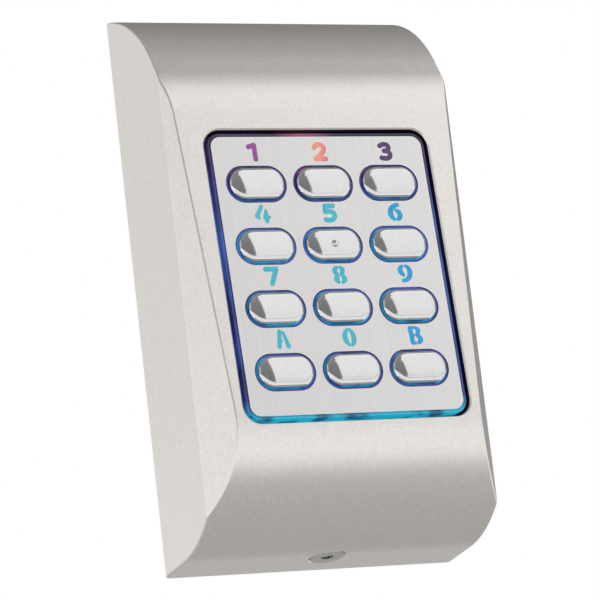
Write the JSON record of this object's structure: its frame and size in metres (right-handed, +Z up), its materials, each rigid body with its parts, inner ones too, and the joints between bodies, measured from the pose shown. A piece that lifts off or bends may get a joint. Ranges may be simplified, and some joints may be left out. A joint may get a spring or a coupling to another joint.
{
  "type": "keypad access reader",
  "caption": "Slim wall-mounted access keypad: cast metal housing with a lit steel face plate and sprung chrome push keys, fixed to a hidden wall plate.",
  "frame": {"origin": "centre of the back, on the wall plane", "axes": "+Z up, +Y into the wall, the face looks along -Y, +X to the right seen from the front"},
  "size_m": [0.052, 0.0252, 0.0932],
  "materials": {
    "housing_paint": "satin pearl silver paint over a zinc casting",
    "wall_plate_steel": "zinc plated pressed steel",
    "face_plate_steel": "vertically brushed stainless steel",
    "key_chrome": "polished",
    "light_guide": "clear moulding lit from behind, blue",
    "silicone": "translucent silicone",
    "black_rubber": "matte",
    "circuit_board": "solder mask over glass epoxy",
    "chip_black": "moulded epoxy",
    "lamp": "clear lens over a white package",
    "terminal_green": "moulded",
    "capacitor_can": "drawn can",
    "nut_brass": "machined",
    "screw_steel": "stainless"
  },
  "bodies": {
    "reader": {"housing": "housing_paint", "back_plate": "wall_plate_steel", "rear_gasket": "black_rubber", "cable_grommet": "black_rubber", "security_screw": "screw_steel", "captive_nut": "nut_brass", "face_plate": "face_plate_steel", "light_guide": "light_guide", "keymat": "silicone", "pcb": "circuit_board", "controller": "chip_black", "regulator": "chip_black", "buzzer": "chip_black", "capacitor": "capacitor_can", "terminal_block": "terminal_green", "tamper_switch": "chip_black", "led_1": "lamp", "led_2": "lamp", "led_3": "lamp", "led_4": "lamp", "led_5": "lamp", "led_6": "lamp", "pcb_screw_1": "screw_steel", "pcb_screw_2": "screw_steel", "pcb_screw_3": "screw_steel", "pcb_screw_4": "screw_steel"},
    "key_1": {"key_cap_1": "key_chrome", "key_plunger_1": "silicone"},
    "key_2": {"key_cap_2": "key_chrome", "key_plunger_2": "silicone"},
    "key_3": {"key_cap_3": "key_chrome", "key_plunger_3": "silicone"},
    "key_4": {"key_cap_4": "key_chrome", "key_plunger_4": "silicone"},
    "key_5": {"key_cap_5": "key_chrome", "key_plunger_5": "silicone"},
    "key_6": {"key_cap_6": "key_chrome", "key_plunger_6": "silicone"},
    "key_7": {"key_cap_7": "key_chrome", "key_plunger_7": "silicone"},
    "key_8": {"key_cap_8": "key_chrome", "key_plunger_8": "silicone"},
    "key_9": {"key_cap_9": "key_chrome", "key_plunger_9": "silicone"},
    "key_A": {"key_cap_A": "key_chrome", "key_plunger_A": "silicone"},
    "key_0": {"key_cap_0": "key_chrome", "key_plunger_0": "silicone"},
    "key_B": {"key_cap_B": "key_chrome", "key_plunger_B": "silicone"},
    "tamper_plunger": {"tamper_plunger": "silicone"}
  },
  "joints": [
    {"name": "key_1_press", "type": "slide", "parent": "reader", "child": "key_1", "axis": [0, 0.9963, -0.0854], "range_m": [0, 0.0008], "stiffness_N_per_m": 1500},
    {"name": "key_2_press", "type": "slide", "parent": "reader", "child": "key_2", "axis": [0, 0.9963, -0.0854], "range_m": [0, 0.0008], "stiffness_N_per_m": 1500},
    {"name": "key_3_press", "type": "slide", "parent": "reader", "child": "key_3", "axis": [0, 0.9963, -0.0854], "range_m": [0, 0.0008], "stiffness_N_per_m": 1500},
    {"name": "key_4_press", "type": "slide", "parent": "reader", "child": "key_4", "axis": [0, 0.9963, -0.0854], "range_m": [0, 0.0008], "stiffness_N_per_m": 1500},
    {"name": "key_5_press", "type": "slide", "parent": "reader", "child": "key_5", "axis": [0, 0.9963, -0.0854], "range_m": [0, 0.0008], "stiffness_N_per_m": 1500},
    {"name": "key_6_press", "type": "slide", "parent": "reader", "child": "key_6", "axis": [0, 0.9963, -0.0854], "range_m": [0, 0.0008], "stiffness_N_per_m": 1500},
    {"name": "key_7_press", "type": "slide", "parent": "reader", "child": "key_7", "axis": [0, 0.9963, -0.0854], "range_m": [0, 0.0008], "stiffness_N_per_m": 1500},
    {"name": "key_8_press", "type": "slide", "parent": "reader", "child": "key_8", "axis": [0, 0.9963, -0.0854], "range_m": [0, 0.0008], "stiffness_N_per_m": 1500},
    {"name": "key_9_press", "type": "slide", "parent": "reader", "child": "key_9", "axis": [0, 0.9963, -0.0854], "range_m": [0, 0.0008], "stiffness_N_per_m": 1500},
    {"name": "key_A_press", "type": "slide", "parent": "reader", "child": "key_A", "axis": [0, 0.9963, -0.0854], "range_m": [0, 0.0008], "stiffness_N_per_m": 1500},
    {"name": "key_0_press", "type": "slide", "parent": "reader", "child": "key_0", "axis": [0, 0.9963, -0.0854], "range_m": [0, 0.0008], "stiffness_N_per_m": 1500},
    {"name": "key_B_press", "type": "slide", "parent": "reader", "child": "key_B", "axis": [0, 0.9963, -0.0854], "range_m": [0, 0.0008], "stiffness_N_per_m": 1500},
    {"name": "tamper_plunger_press", "type": "slide", "parent": "reader", "child": "tamper_plunger", "axis": [0, -0.9963, 0.0854], "range_m": [0, 0.001], "stiffness_N_per_m": 300}
  ]
}
